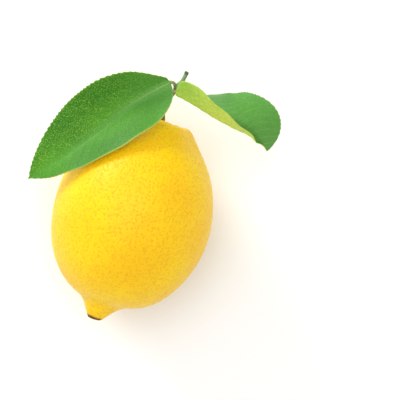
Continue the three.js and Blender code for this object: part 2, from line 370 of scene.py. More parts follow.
# %% The peel
YELLOW = (0.95, 0.62, 0.006, 1)
WARM_YELLOW = (0.93, 0.55, 0.005, 1)
GLAND = (0.74, 0.31, 0.003, 1)
SCAR = (0.15, 0.055, 0.008, 1)
GREEN_TINGE = (0.62, 0.58, 0.05, 1)
WAXY_ROUGHNESS, SCAR_ROUGHNESS = 0.38, 0.85
PEEL_CLOUD_SCALE = 60.0
GLAND_SHARE, TINGE_SHARE = 0.5, 0.5
FINE_GLAND_RATIO, FINE_GLAND_SIZE, FINE_GLAND_HEIGHT = 2.1, 0.5, 0.25
PEEL_BUMP = 0.9
RAGGED_SCALE, RAGGED_REACH = 1400.0, 0.8
NIPPLE_TIP = (-NIPPLE_LEAN, -FRUIT_HALF_LENGTH - 4.1, AXIS_HEIGHT)
SCAR_INNER, SCAR_OUTER = 3.3, 4.2
STEM_DISH = (0, FRUIT_HALF_LENGTH - 1, AXIS_HEIGHT)
TINGE_INNER, TINGE_OUTER = 2, 9


def nearness(tree, place, centre_mm, inner_mm, outer_mm):
    """1 within inner_mm of a point, fading to 0 at outer_mm, with a ragged edge."""
    links = {0: place, 1: tuple(value * MM for value in centre_mm)}
    gap = add_node(tree, "ShaderNodeVectorMath", links, operation="DISTANCE").outputs["Value"]
    links = {"Vector": place, "Scale": RAGGED_SCALE}
    ragged = add_node(tree, "ShaderNodeTexNoise", links).outputs["Fac"]
    gap = calculate(tree, "ADD", gap, calculate(tree, "MULTIPLY", ragged, RAGGED_REACH * MM))
    return fade(tree, gap, inner_mm * MM, outer_mm * MM, 1.0, 0.0)


def make_peel():
    material, tree, shader, place = new_material(
        "waxy_peel", YELLOW[:3], Roughness=WAXY_ROUGHNESS, Subsurface_Weight=0.22, Subsurface_Scale=0.0025,
        Subsurface_Radius=(1.0, 0.55, 0.12), Specular_IOR_Level=0.2)
    base = use_group(tree, MOTTLE, Vector=place, Scale=PEEL_CLOUD_SCALE, First=YELLOW, Second=WARM_YELLOW)
    glands = use_group(tree, SPOTS, Vector=place, Scale=PORE_SCALE, Size=PORE_SIZE)
    dotted = calculate(tree, "MULTIPLY", glands.outputs["Spots"], GLAND_SHARE)
    colour = mix_colours(tree, dotted, base.outputs["Color"], GLAND)
    tinge = nearness(tree, place, STEM_DISH, TINGE_INNER, TINGE_OUTER)
    colour = mix_colours(tree, calculate(tree, "MULTIPLY", tinge, TINGE_SHARE), colour, GREEN_TINGE)
    scar = nearness(tree, place, NIPPLE_TIP, SCAR_INNER, SCAR_OUTER)
    colour = mix_colours(tree, scar, colour, SCAR)
    tree.links.new(colour, shader.inputs["Base Color"])
    roughness = ramp(tree, scar, 0.0, 1.0, WAXY_ROUGHNESS, SCAR_ROUGHNESS)
    tree.links.new(roughness, shader.inputs["Roughness"])
    scale = FINE_GLAND_RATIO * PORE_SCALE
    fine = use_group(tree, SPOTS, Vector=place, Scale=scale, Size=FINE_GLAND_SIZE)
    low = calculate(tree, "MULTIPLY", fine.outputs["Height"], FINE_GLAND_HEIGHT)
    height = calculate(tree, "ADD", glands.outputs["Height"], low)
    add_bump(tree, shader, height, PORE_DEPTH, PEEL_BUMP)
    return material


PEEL = make_peel()
print("peel", len(PEEL.node_tree.nodes), "nodes")

# %% [markdown]
# A modifier's inputs are set by their identifiers. The evaluated result is then taken as a plain mesh and the
# modifier is removed, so that what is kept is only geometry.

# %% Apply a tree to a piece
def apply_tree(piece, tree, **inputs):
    name = piece.name
    modifier = piece.modifiers.new(tree.name, "NODES")
    modifier.node_group = tree
    items = [item for item in tree.interface.items_tree if item.in_out == "INPUT"]
    sockets = {item.name: item.identifier for item in items}
    for label, value in inputs.items():
        modifier[sockets[label.replace("_", " ")]] = value
    evaluated = piece.evaluated_get(bpy.context.evaluated_depsgraph_get())
    mesh = bpy.data.meshes.new_from_object(evaluated)
    old = piece.data
    piece.modifiers.remove(modifier)
    if isinstance(old, bpy.types.Mesh):
        piece.data = mesh
        bpy.data.meshes.remove(old)
    else:
        bpy.data.objects.remove(piece)
        piece = bpy.data.objects.new(name, mesh)
        bpy.context.scene.collection.objects.link(piece)
    mesh.shade_smooth()
    print(name, len(mesh.vertices), "points after", tree.name)
    return piece


fruit = apply_tree(fruit, PORES, Spacing_Scale=PORE_SCALE, Pore_Size=PORE_SIZE,
                   Pore_Depth=PORE_DEPTH * MM, Material=PEEL)

# %% [markdown]
# ## Curves that the green pieces follow
#
# The twig, the stalks and the midribs of the leaves each follow a few points joined by a smooth curve. The
# centripetal kind is used because it never loops or overshoots between uneven points. The curve is walked in
# steps of equal length, so that a share of 0.5 is halfway along the real piece.

# %% Smooth curves
CURVE_STEPS = 60


def spline_piece(points, start, steps):
    """The stretch of a centripetal curve between points[start + 1] and the next one."""
    p = points[start:start + 4]
    gaps = [max(np.linalg.norm(p[i + 1] - p[i]) ** 0.5, 1e-4) for i in range(3)]
    share = np.linspace(0, 1, steps, endpoint=False)[:, None]
    tangents = []
    for i in (0, 1):
        before, after = gaps[i], gaps[i + 1]
        slope = (p[i + 1] - p[i]) / before - (p[i + 2] - p[i]) / (before + after)
        tangents.append((slope + (p[i + 2] - p[i + 1]) / after) * gaps[1])
    square, cube = share**2, share**3
    return (p[1] * (2 * cube - 3 * square + 1) + tangents[0] * (cube - 2 * square + share)
            + p[2] * (3 * square - 2 * cube) + tangents[1] * (cube - square))


def walk_curve(points, steps):
    """Evenly spaced places along a smooth curve, with the direction ahead at each."""
    points = np.array(points, dtype=float)
    padded = np.concatenate([[2 * points[0] - points[1]], points, [2 * points[-1] - points[-2]]])
    pieces = [spline_piece(padded, start, CURVE_STEPS) for start in range(len(points) - 1)]
    dense = np.concatenate(pieces + [points[-1:]])
    walked = np.concatenate([[0], np.cumsum(np.linalg.norm(np.diff(dense, axis=0), axis=1))])
    even = np.linspace(0, walked[-1], steps + 1)
    places = np.stack([np.interp(even, walked, dense[:, axis]) for axis in range(3)], axis=1)
    ahead = np.gradient(places, axis=0)
    return places, ahead / np.linalg.norm(ahead, axis=1)[:, None], walked[-1]


def read_along(values, share):
    """A value read off evenly spaced ones, as a smooth curve through them."""
    values = np.array(values, dtype=float)
    spot = np.clip(share, 0, 1) * (len(values) - 1)
    index = np.minimum(spot.astype(int), len(values) - 2)
    part = spot - index
    a, b = values[np.maximum(index - 1, 0)], values[index]
    c, d = values[index + 1], values[np.minimum(index + 2, len(values) - 1)]
    start, end = (c - a) / 2, (d - b) / 2
    bend = (2 * b - 2 * c + start + end) * part**3
    return bend + (3 * c - 3 * b - 2 * start - end) * part**2 + start * part + b


print("halfway between 1, 3 and 2 the value is", float(read_along((1, 3, 2), 0.5)))

# %% [markdown]
# ## The leaves
#
# A citrus leaf is a thin blade folded along its midrib. Its two halves rise at their own angles, and the
# angles change from foot to tip, which gives the twist of the folded leaf. The margin is finely toothed. Side
# veins leave the midrib at a slant and bend towards the tip. They are real relief here: sunken lines between
# low cushions on the upper face, and thin ridges underneath, where the midrib stands out most.
#
# Each half also says how it looks: "teeth" is how far its margin is cut, "rim" how yellow its edge is,
# "grain" how speckled it is, "veins" how pale its side veins are, "cool" how strongly a painted bluish sheen
# tints its green, and "deep" how much painted shade darkens its green towards the margin, read from foot to
# tip.

# %% Sizes of the leaves
LEAF_STATIONS = 340
HALF_STRIPS = 30
BLADE_THICKNESS = 0.4
FOLD_WIDTH = 3
FOOT_HALF_WIDTH, TIP_HALF_WIDTH = 0.5, 0.3
TEETH = 38
TOOTH_DEPTH = 0.42
TOOTH_CREST, TOOTH_NOTCH = 0.8, 0.82
BEAT_DRIFT, BEAT_RIPPLE, DEPTH_DRIFT = 0.35, 0.2, 0.2
SIDE_VEINS = 12
VEIN_SLANT, VEIN_BEND = 0.62, 0.035
VEIN_WIDTH, VEIN_DRIFT = 0.3, 0.12
print("leaf thickness", BLADE_THICKNESS, "mm")

# %% [markdown]
# The two leaves differ only in these values. The left one lies open with its upper face to the viewer. The
# right one is folded: one half stands up and leans over, and the other hangs down at its foot and flattens
# towards its tip.
#
# The midrib and the half width are in millimetres. The halves are named as seen from the foot, with the upper
# face up. "share" is a half's width against the half width. "fold" is how many degrees a half rises, or
# drops where it is negative, read from foot to tip. The smaller a fullness is, the blunter the outline is at
# that end.

# %% The two leaves
# In each half, "cool" sets how much painted bluish sheen it gets and "deep" how much painted shade.
LEFT_LEAF = {
    "midrib": [
        (-0.9, 51.7, 44.6),
        (-6.9, 45.8, 44.6),
        (-13.1, 38.8, 45.2),
        (-22.7, 26.0, 45.2),
        (-31.6, 14.4, 43.2),
        (-40.9, 1.9, 38.2),
    ],
    "half_width": 15.8,
    "foot_fullness": 0.5,
    "right": {"share": 1, "tip_fullness": 0.87, "fold": (72, 37, 17, 8, 12),
              "teeth": 1, "rim": 0.15, "grain": 1, "veins": 0.45, "blue_sheen": 0,
              "painted_shade": (0, 0.75, 0.9, 0.6, 0)},
    "left": {"share": 0.96, "tip_fullness": 0.91, "fold": (27, 40, 45, 42, 30),
             "teeth": 0.4, "rim": 0.9, "grain": 0.35, "veins": 0.45, "blue_sheen": 0.2,
             "painted_shade": (0.1, 0.55, 0.75, 0.6, 0.2)},
}
RIGHT_LEAF = {
    "midrib": [
        (3.0, 49.2, 43.6),
        (10.4, 47.7, 46.3),
        (18.2, 45.6, 47.8),
        (26.1, 44.1, 47.4),
        (34.2, 43.0, 44.6),
        (41.3, 38.8, 37.5),
    ],
    "half_width": 14.9,
    "foot_fullness": 0.42,
    "right": {"share": 1, "tip_fullness": 1.5, "fold": (125, 116, 109, 96, 95),
              "teeth": 0.4, "rim": 0.15, "grain": 0.35, "veins": 0.45, "blue_sheen": 0,
              "painted_shade": (0, 0)},
    "left": {"share": 1.1, "tip_fullness": 0.52, "fold": (-92, -64, -47, -16, 1),
             "teeth": 0.8, "rim": 0.15, "grain": 0.3, "veins": 0.58, "blue_sheen": 0.85,
             "painted_shade": (0.6, 0.5, 0.35, 0.05, 0)},
}
print("left blade", 2 * LEFT_LEAF["half_width"], "mm wide when flat")

# %% [markdown]
# A half is laid out station by station from the midrib to the margin, and turns up by its fold angle over
# the first few millimetres. A tooth rises slowly along the margin and drops at its end, so that all teeth
# point to the tip. Their beat and depth drift a little along the blade, because no two teeth are alike.

# %% One half of a blade
def outline(share, foot_fullness, tip_fullness):
    def shape(place):
        return place**foot_fullness * (1 - place) ** tip_fullness

    widest = foot_fullness / (foot_fullness + tip_fullness)
    return shape(share) / shape(widest)


def tooth_line(share, side):
    """How far the margin is cut back at each station, as a share of a whole tooth."""
    beat = TEETH * share + BEAT_DRIFT * np.sin(11 * share + side) + BEAT_RIPPLE * np.sin(29 * share)
    part = beat - np.floor(beat)
    depth = 1 - DEPTH_DRIFT + DEPTH_DRIFT * np.sin(17 * share + 2 * side)
    return depth * (1 - smooth_step(part, 0, TOOTH_CREST) + smooth_step(part, TOOTH_NOTCH, 1))


def half_blade(leaf, half, side, places, across, up):
    """Points from the midrib to the margin at every station, with the way out of the upper face."""
    share = np.linspace(0, 1, len(places))
    shape = outline(share, leaf["foot_fullness"], half["tip_fullness"])
    width = leaf["half_width"] * half["share"] * shape
    tooth = TOOTH_DEPTH * half["teeth"] * tooth_line(share, side)
    least = FOOT_HALF_WIDTH + (TIP_HALF_WIDTH - FOOT_HALF_WIDTH) * share
    width = np.maximum(width - tooth, least)[:, None]
    fold = np.radians(read_along(half["fold"], share))[:, None]
    reach = np.minimum(FOLD_WIDTH, width)
    points, normals, outs = [places], [], []
    for strip in range(HALF_STRIPS + 1):
        out = strip / HALF_STRIPS * width
        angle = fold * smooth_step(out, 0, reach)
        normals.append(up * np.cos(angle) - side * across * np.sin(angle))
        outs.append(out[:, 0])
        if strip < HALF_STRIPS:
            angle = fold * smooth_step(out + width / HALF_STRIPS / 2, 0, reach)
            step = side * across * np.cos(angle) + up * np.sin(angle)
            points.append(points[-1] + step * width / HALF_STRIPS)
    return np.stack(points, 1), np.stack(normals, 1), np.stack(outs, 1), width


def vein_pattern(out, share, width, length):
    """How strongly a side vein shows at a place, and how far the blade bulges between two veins."""
    run = share * length - VEIN_SLANT * out - VEIN_BEND * out**2
    pitch = length / SIDE_VEINS
    phase = run / pitch + VEIN_DRIFT * np.sin(9 * share)
    gap = np.abs(phase - np.round(phase)) * pitch
    strength = 1 - np.clip(out / width, 0, 1) ** 5
    bulge = np.sin(np.pi * (phase - np.floor(phase))) ** 2
    return hill(gap, VEIN_WIDTH) * strength, bulge * strength


print("a tooth is cut back by", TOOTH_DEPTH, "mm at most")

# %% [markdown]
# The two faces of a blade are the same grid of points moved apart, and a strip of faces closes the rim all
# the way round.

# %% Faces of a blade
def sheet_faces(rows, columns):
    def top(row, column):
        return row * columns + column

    under = rows * columns
    faces = []
    for row in range(rows - 1):
        for column in range(columns - 1):
            a, b = top(row, column), top(row, column + 1)
            c, d = top(row + 1, column + 1), top(row + 1, column)
            faces += [(a, b, c, d), (under + a, under + d, under + c, under + b)]
    edge = [top(0, column) for column in range(columns)]
    edge += [top(row, columns - 1) for row in range(1, rows)]
    edge += [top(rows - 1, column) for column in range(columns - 2, -1, -1)]
    edge += [top(row, 0) for row in range(rows - 2, 0, -1)]
    for first, second in zip(edge, edge[1:] + edge[:1]):
        faces.append((first, under + first, under + second, second))
    return faces


print("a blade has", len(sheet_faces(LEAF_STATIONS + 1, 2 * HALF_STRIPS + 1)), "faces")

# %% [markdown]
# The relief is written for each face apart, as how far the midrib, a side vein and the cushion between two
# veins lift the surface. The underside's values are negative where they stand out, because it faces down. The
# blade also waves a little towards its margin and grows thinner there. Each point keeps what the material
# needs, such as which face it is on, how strong the veins are there and how near it is to the margin.

# %% A whole blade
RIB_WIDTH, RIB_FADING = 0.55, 0.55
UPPER_RIB, UPPER_VEIN, UPPER_CUSHION = -0.12, -0.025, 0.03
UNDER_RIB, UNDER_VEIN, UNDER_CUSHION = -0.42, -0.07, 0.05
WAVE_HEIGHT, WAVE_COUNT, WAVE_SHIFT = 0.22, 4.5, 0.2
MARGIN_THINNING = 0.45
RIM_START, RIM_END = 0.955, 0.995
LINE_WIDTH, LINE_FADING, LINE_START, LINE_END = 0.3, 0.85, 0.02, 0.5
# painted shade: where it starts and where it is full, across a half from the midrib to the margin
PAINTED_SHADE_START, PAINTED_SHADE_END = 0.1, 0.7


def make_blade(name, leaf):
    places, ahead, length = walk_curve(leaf["midrib"], LEAF_STATIONS)
    across = np.cross(ahead, (0, 0, 1))
    across /= np.linalg.norm(across, axis=1)[:, None]
    up = np.cross(across, ahead)
    share = np.linspace(0, 1, len(places))[:, None]
    sheets, values = [], []
    for key, side in (("left", -1), ("right", 1)):
        half = leaf[key]
        points, normals, out, width = half_blade(leaf, half, side, places, across, up)
        vein, bulge = vein_pattern(out, share, width, length)
        rib = hill(out, RIB_WIDTH) * (1 - RIB_FADING * share)
        beat = 2 * np.pi * (WAVE_COUNT * share + WAVE_SHIFT * side)
        wave = WAVE_HEIGHT * np.sin(beat) * (out / width) ** 3
        thin = BLADE_THICKNESS / 2 * (1 - MARGIN_THINNING * (out / width) ** 4)
        rise = wave + UPPER_RIB * rib + UPPER_VEIN * vein + UPPER_CUSHION * bulge
        top = points + normals * (thin + rise)[..., None]
        drop = wave + UNDER_RIB * rib + UNDER_VEIN * vein + UNDER_CUSHION * bulge
        low = points + normals * (drop - thin)[..., None]
        order = slice(None, None, -1) if side < 0 else slice(1, None)
        sheets.append((top[:, order], low[:, order]))
        line = hill(out, LINE_WIDTH) * (1 - LINE_FADING * smooth_step(share, LINE_START, LINE_END))
        looks = {
            "vein": np.maximum(vein * half["veins"], line),
            "margin": half["rim"] * smooth_step(out / width, RIM_START, RIM_END),
            "grain": half["grain"] + 0 * out,
            # painted sheen: how strongly the half's green is tinted bluish, standing in for reflected sky
            "blue_sheen": half["blue_sheen"] + 0 * out,
            # painted shade that darkens the green towards the margin, read from foot to tip
            "painted_shade": read_along(half["painted_shade"], share) * smooth_step(out / width, PAINTED_SHADE_START, PAINTED_SHADE_END),
            "along": share + 0 * out,
        }
        values.append({label: value[:, order] for label, value in looks.items()})
    top, low = (np.concatenate([left, right], 1) for left, right in zip(*sheets))
    points = np.concatenate([top.reshape(-1, 3), low.reshape(-1, 3)])
    left, right = values
    both = {label: np.concatenate([left[label], right[label]], 1).ravel() for label in left}
    both = {label: np.concatenate([value] * 2) for label, value in both.items()}
    both["underside"] = np.repeat([0.0, 1.0], top.shape[0] * top.shape[1])
    return make_piece(name, points, sheet_faces(*top.shape[:2]), **both)


leaf_left = make_blade("leaf_left_blade", LEFT_LEAF)
leaf_right = make_blade("leaf_right_blade", RIGHT_LEAF)

# %% [markdown]
# One material dresses both faces. The upper face is a dark green with a soft shine and tiny pale glands, the
# underside is a yellow-green, the veins are paler than the blade, and the very edge has a yellowish rim. The
# upper face's green isn't the same all over, and part of that is painted light: it has a paler painted sheen
# at the foot, a bluish painted sheen on one half of each leaf, and painted shade that darkens it towards some
# margins. A fine net of small veins is too thin for the mesh, so it is a bump and a change of colour.

# %% The leaf material
LEAF_GREEN = (0.068, 0.278, 0.014, 1)
LEAF_DEEP = (0.041, 0.205, 0.008, 1)
# painted sheen: a paler green laid on near the foot of each leaf
LEAF_FOOT_SHEEN = (0.120, 0.360, 0.070, 1)
# painted shade: the dark green that the upper face is darkened to where a half is painted as if turned from
# the light
LEAF_PAINTED_SHADE = (0.022, 0.165, 0.003, 1)
# painted sheen: a bluish green standing in for reflected sky on one half of each leaf
LEAF_BLUE_SHEEN = (0.088, 0.285, 0.050, 1)
UNDER_GREEN = (0.44, 0.69, 0.105, 1)
UNDER_SHADE = (0.38, 0.61, 0.085, 1)
UNDER_PALE = (0.62, 0.78, 0.135, 1)
UNDER_NET = (0.20, 0.40, 0.035, 1)
VEIN_GREEN = (0.30, 0.50, 0.09, 1)
RIM_YELLOW = (0.46, 0.50, 0.10, 1)
GLAND_GREEN = (0.32, 0.56, 0.045, 1)
UPPER_ROUGHNESS, UNDER_ROUGHNESS = 0.45, 0.6
UPPER_CLOUD_SCALE, UNDER_CLOUD_SCALE = 70.0, 90.0
LEAF_GLAND_SCALE, LEAF_GLAND_SIZE = 1500.0, 0.34
SPECK_SCALE = 2500.0
SPECK_LOW, SPECK_HIGH, SPECK_SHARE = 0.52, 0.66, 0.6
GLAND_DOT_SHARE, VEIN_SHARE, UNDER_VEIN_SHARE = 0.5, 0.8, 0.5
# painted sheen at the foot: where it is full, where it has faded out, and how strong it is
FOOT_SHEEN_START, FOOT_SHEEN_END, FOOT_SHEEN_SHARE = 0.05, 0.45, 0.8
PALE_START, PALE_END, PALE_SHARE = 0.1, 0.5, 0.9
WIDE_NET_SCALE, WIDE_NET_WIDTH, WIDE_NET_SHARE = 420.0, 0.1, 0.35
FINE_NET_SCALE, FINE_NET_HEIGHT = 900.0, 1.4
LEAF_BUMP_DEPTH, LEAF_BUMP = 0.06, 0.5


def net_gap(tree, place, scale):
    """How far a place is from the nearest line of a net of small veins."""
    links = {"Vector": place, "Scale": scale}
    net = add_node(tree, "ShaderNodeTexVoronoi", links, feature="DISTANCE_TO_EDGE")
    return net.outputs["Distance"]


def upper_face(tree, place, vein, along):
    """The colour of the upper face, and the height of its glands."""
    links = {"Vector": place, "Scale": UPPER_CLOUD_SCALE, "First": LEAF_GREEN, "Second": LEAF_DEEP}
    cloud = use_group(tree, MOTTLE, **links)
    # painted sheen: paler near the foot
    foot_sheen = fade(tree, along, FOOT_SHEEN_START, FOOT_SHEEN_END, FOOT_SHEEN_SHARE, 0.0)
    colour = mix_colours(tree, foot_sheen, cloud.outputs["Color"], LEAF_FOOT_SHEEN)
    # painted bluish sheen on one half of each leaf
    colour = mix_colours(tree, read_value(tree, "blue_sheen"), colour, LEAF_BLUE_SHEEN)
    # painted shade, darker towards the margins
    colour = mix_colours(tree, read_value(tree, "painted_shade"), colour, LEAF_PAINTED_SHADE)
    glands = use_group(tree, SPOTS, Vector=place, Scale=LEAF_GLAND_SCALE, Size=LEAF_GLAND_SIZE)
    glands = glands.outputs["Spots"]
    links = {"Vector": place, "Scale": SPECK_SCALE, "Detail": 2.0}
    specks = add_node(tree, "ShaderNodeTexNoise", links).outputs["Fac"]
    specks = fade(tree, specks, SPECK_LOW, SPECK_HIGH, 0.0, SPECK_SHARE)
    specks = calculate(tree, "MULTIPLY", specks, read_value(tree, "grain"))
    dotted = calculate(tree, "MAXIMUM", calculate(tree, "MULTIPLY", glands, GLAND_DOT_SHARE), specks)
    colour = mix_colours(tree, dotted, colour, GLAND_GREEN)
    veined = calculate(tree, "MULTIPLY", calculate(tree, "POWER", vein, 2.0), VEIN_SHARE)
    return mix_colours(tree, veined, colour, VEIN_GREEN), glands


def under_face(tree, place, vein, along):
    """The colour of the underside, paler towards the tip and crossed by a net of small veins."""
    links = {"Vector": place, "Scale": UNDER_CLOUD_SCALE, "First": UNDER_GREEN, "Second": UNDER_SHADE}
    cloud = use_group(tree, MOTTLE, **links)
    by_tip = fade(tree, along, PALE_START, PALE_END, 0.0, PALE_SHARE)
    colour = mix_colours(tree, by_tip, cloud.outputs["Color"], UNDER_PALE)
    net = net_gap(tree, place, WIDE_NET_SCALE)
    colour = mix_colours(tree, fade(tree, net, 0.0, WIDE_NET_WIDTH, WIDE_NET_SHARE, 0.0), colour, UNDER_NET)
    return mix_colours(tree, calculate(tree, "MULTIPLY", vein, UNDER_VEIN_SHARE), colour, VEIN_GREEN)


def make_leaf_material():
    material, tree, shader, place = new_material(
        "leaf_two_faces", LEAF_GREEN[:3], Roughness=UPPER_ROUGHNESS, Subsurface_Weight=0.08,
        Subsurface_Scale=0.0012, Subsurface_Radius=(0.5, 1.0, 0.2), Specular_IOR_Level=0.25)
    under, vein, along = (read_value(tree, name) for name in ("underside", "vein", "along"))
    top, glands = upper_face(tree, place, vein, along)
    colour = mix_colours(tree, under, top, under_face(tree, place, vein, along))
    colour = mix_colours(tree, read_value(tree, "margin"), colour, RIM_YELLOW)
    tree.links.new(colour, shader.inputs["Base Color"])
    roughness = ramp(tree, under, 0.0, 1.0, UPPER_ROUGHNESS, UNDER_ROUGHNESS)
    tree.links.new(roughness, shader.inputs["Roughness"])
    net = calculate(tree, "MULTIPLY", net_gap(tree, place, FINE_NET_SCALE), FINE_NET_HEIGHT)
    add_bump(tree, shader, calculate(tree, "ADD", net, glands), LEAF_BUMP_DEPTH, LEAF_BUMP)
    return material


LEAF = make_leaf_material()
for blade in (leaf_left, leaf_right):
    blade.data.materials.append(LEAF)
print("leaf", len(LEAF.node_tree.nodes), "nodes")

# %% [markdown]
# ## The twig and the stalks
#
# Each stem follows its route, so it is a curve swept by a circle in a Geometry Nodes tree. The radius at each
# point comes from the curve, and a noise raises low bumps and ridges on the bark. The tree also keeps how far
# along the stem a point lies, so that the cut end and the foot can have their own colour.

# %% Sizes of the stems
TWIG_ROUTE = [
    (-0.15, 36.9, 29.3),
    (-0.3, 38.2, 29.8),
    (-0.7, 42.3, 32.3),
    (0.1, 46.4, 36.4),
    (1.4, 49.3, 39.7),
    (1.9, 51.4, 41.5),
    (3.2, 53.6, 43.3),
    (3.88, 57.1, 45.37),
]
TWIG_RADII = (1.5, 0.95, 0.9, 1.0, 0.95, 0.8, 0.72)
STALK_RADII = (0.85, 0.62, 0.6, 0.66)
LEFT_STALK_ROUTE = [(1.6, 50.0, 40.3), (1.1, 51.1, 42.0), (0.3, 52.0, 43.6), (-1.1, 51.8, 44.6)]
RIGHT_STALK_ROUTE = [(1.2, 48.7, 39.2), (1.9, 49.0, 41.1), (2.2, 49.3, 42.6), (3.1, 49.2, 43.6)]
TWIG_STEPS, STALK_STEPS = 90, 30
STEM_SIDES = 28
RIDGE_HEIGHT, RIDGE_SCALE = 0.16, 1100.0
NOISE_MIDDLE = 0.5
TWIG_FLARE, FLARE_REACH = 0.12, 0.06
print("twig", round(walk_curve(TWIG_ROUTE, TWIG_STEPS)[2], 1), "mm long")

# %% [markdown]
# The tree sweeps a circle along the route, and the piece is made from a plain list of points with a radius at
# each. The twig flares a little at its cut end.

# %% Geometry Nodes for a stem
def build_stem():
    inputs = [("Sides", "Int"), ("Ridge Height", "Float"), ("Material", "Material")]
    tree, start, end = new_tree("Stem", inputs)
    share = tree.nodes.new("GeometryNodeSplineParameter").outputs["Factor"]
    links = {"Geometry": start.outputs["Geometry"], "Name": "stem_share", "Value": share}
    route = add_node(tree, "GeometryNodeStoreNamedAttribute", links).outputs[0]
    links = {"Resolution": start.outputs["Sides"], "Radius": 1.0}
    ring = add_node(tree, "GeometryNodeCurvePrimitiveCircle", links).outputs["Curve"]
    radius = tree.nodes.new("GeometryNodeInputRadius").outputs[0]
    links = {"Curve": route, "Profile Curve": ring, "Scale": radius, "Fill Caps": True}
    tube = add_node(tree, "GeometryNodeCurveToMesh", links).outputs[0]
    place = tree.nodes.new("GeometryNodeInputPosition").outputs[0]
    links = {"Vector": place, "Scale": RIDGE_SCALE, "Detail": 3.0}
    noise = add_node(tree, "ShaderNodeTexNoise", links).outputs["Fac"]
    rise = calculate(tree, "SUBTRACT", noise, NOISE_MIDDLE)
    moved = push_out(tree, tube, calculate(tree, "MULTIPLY", rise, start.outputs["Ridge Height"]))
    end_tree(tree, moved, start.outputs["Material"], end)
    return tree


STEM = build_stem()


def make_stem(name, route, radii, material, steps, flare=0.0):
    places, _, _ = walk_curve(route, steps)
    curve = bpy.data.curves.new(name, "CURVE")
    curve.dimensions = "3D"
    line = curve.splines.new("POLY")
    line.points.add(steps)
    share = np.linspace(0, 1, steps + 1)
    radius = read_along(radii, share) * (1 + flare * hill(share - 1, FLARE_REACH))
    for point, place, size in zip(line.points, places, radius):
        point.co = (*(place * MM), 1)
        point.radius = size * MM
    piece = bpy.data.objects.new(name, curve)
    bpy.context.scene.collection.objects.link(piece)
    return apply_tree(piece, STEM, Sides=STEM_SIDES, Ridge_Height=RIDGE_HEIGHT * MM, Material=material)


print("stem tree", len(STEM.nodes), "nodes")

# %% [markdown]
# Young bark is a dusty grey-green with paler corky dots. It turns brown towards its foot, and the cut end
# shows dark.

# %% The bark
TWIG_GREEN = (0.19, 0.31, 0.13, 1)
TWIG_GREY = (0.26, 0.36, 0.19, 1)
TWIG_BROWN = (0.16, 0.115, 0.045, 1)
CUT_DARK = (0.055, 0.075, 0.035, 1)
STALK_OLIVE = (0.30, 0.34, 0.09, 1)
BARK_CLOUD_SCALE, CORK_SCALE, CORK_SIZE, CORK_SHARE = 420.0, 1300.0, 0.3, 0.5
BARK_ROUGHNESS, BARK_BUMP_DEPTH, BARK_BUMP = 0.62, 0.08, 0.6


def make_bark(name, main, second, foot, tip):
    """foot is its colour and the share where it ends, tip is its colour and the share where it starts."""
    foot_colour, foot_end = foot
    tip_colour, tip_start = tip
    material, tree, shader, place = new_material(
        name, main[:3], Roughness=BARK_ROUGHNESS, Subsurface_Weight=0.05, Subsurface_Scale=0.001)
    share = read_value(tree, "stem_share")
    base = use_group(tree, MOTTLE, Vector=place, Scale=BARK_CLOUD_SCALE, First=main, Second=second)
    cork = use_group(tree, SPOTS, Vector=place, Scale=CORK_SCALE, Size=CORK_SIZE).outputs["Spots"]
    dotted = calculate(tree, "MULTIPLY", cork, CORK_SHARE)
    colour = mix_colours(tree, dotted, base.outputs["Color"], second)
    colour = mix_colours(tree, fade(tree, share, 0.0, foot_end, 1.0, 0.0), colour, foot_colour)
    colour = mix_colours(tree, ramp(tree, share, tip_start, 1.0), colour, tip_colour)
    tree.links.new(colour, shader.inputs["Base Color"])
    height = calculate(tree, "ADD", base.outputs["Cloud"], cork)
    add_bump(tree, shader, height, BARK_BUMP_DEPTH, BARK_BUMP)
    return material


TWIG_BARK = make_bark("twig_bark", TWIG_GREEN, TWIG_GREY, foot=(TWIG_BROWN, 0.75), tip=(CUT_DARK, 0.96))
STALK_SKIN = make_bark("stalk_skin", STALK_OLIVE, TWIG_GREY, foot=(TWIG_BROWN, 0.9), tip=(STALK_OLIVE, 0.95))
twig = make_stem("twig_stem", TWIG_ROUTE, TWIG_RADII, TWIG_BARK, TWIG_STEPS, TWIG_FLARE)
stalk_left = make_stem("stalk_left_stem", LEFT_STALK_ROUTE, STALK_RADII, STALK_SKIN, STALK_STEPS)
stalk_right = make_stem("stalk_right_stem", RIGHT_STALK_ROUTE, STALK_RADII, STALK_SKIN, STALK_STEPS)

# %% [markdown]
# ## The calyx
#
# Where the fruit hangs from its twig it keeps a small button with five rounded lobes. It lies in the dish, so
# its underside follows the dish floor. A low crown in its middle carries the twig.

# %% The calyx
CALYX_RADIUS, CALYX_LOBE_DEPTH = 3.3, 0.55
CALYX_EDGE, CALYX_CROWN, CALYX_CROWN_WIDTH = 0.45, 1.0, 0.55
CALYX_GAP = 0.12
CALYX_LOBES = 5
CALYX_GROOVE_DEPTH, CALYX_GROOVE_PLACE, CALYX_GROOVE_WIDTH = 0.12, 0.6, 0.35
CALYX_RIPPLE, CALYX_EDGE_RIPPLE = 0.05, 0.1
CALYX_ROUNDING = 8
CALYX_RINGS, CALYX_COLUMNS = 24, 150


def dish_floor(radius):
    oval = FRUIT_HALF_LENGTH * np.sqrt(1 - (radius / FRUIT_RADIUS) ** 2)
    collar = COLLAR_HEIGHT * hill(radius - COLLAR_RADIUS, COLLAR_WIDTH)
    return oval + collar - DISH_DEPTH * hill(radius, DISH_WIDTH)


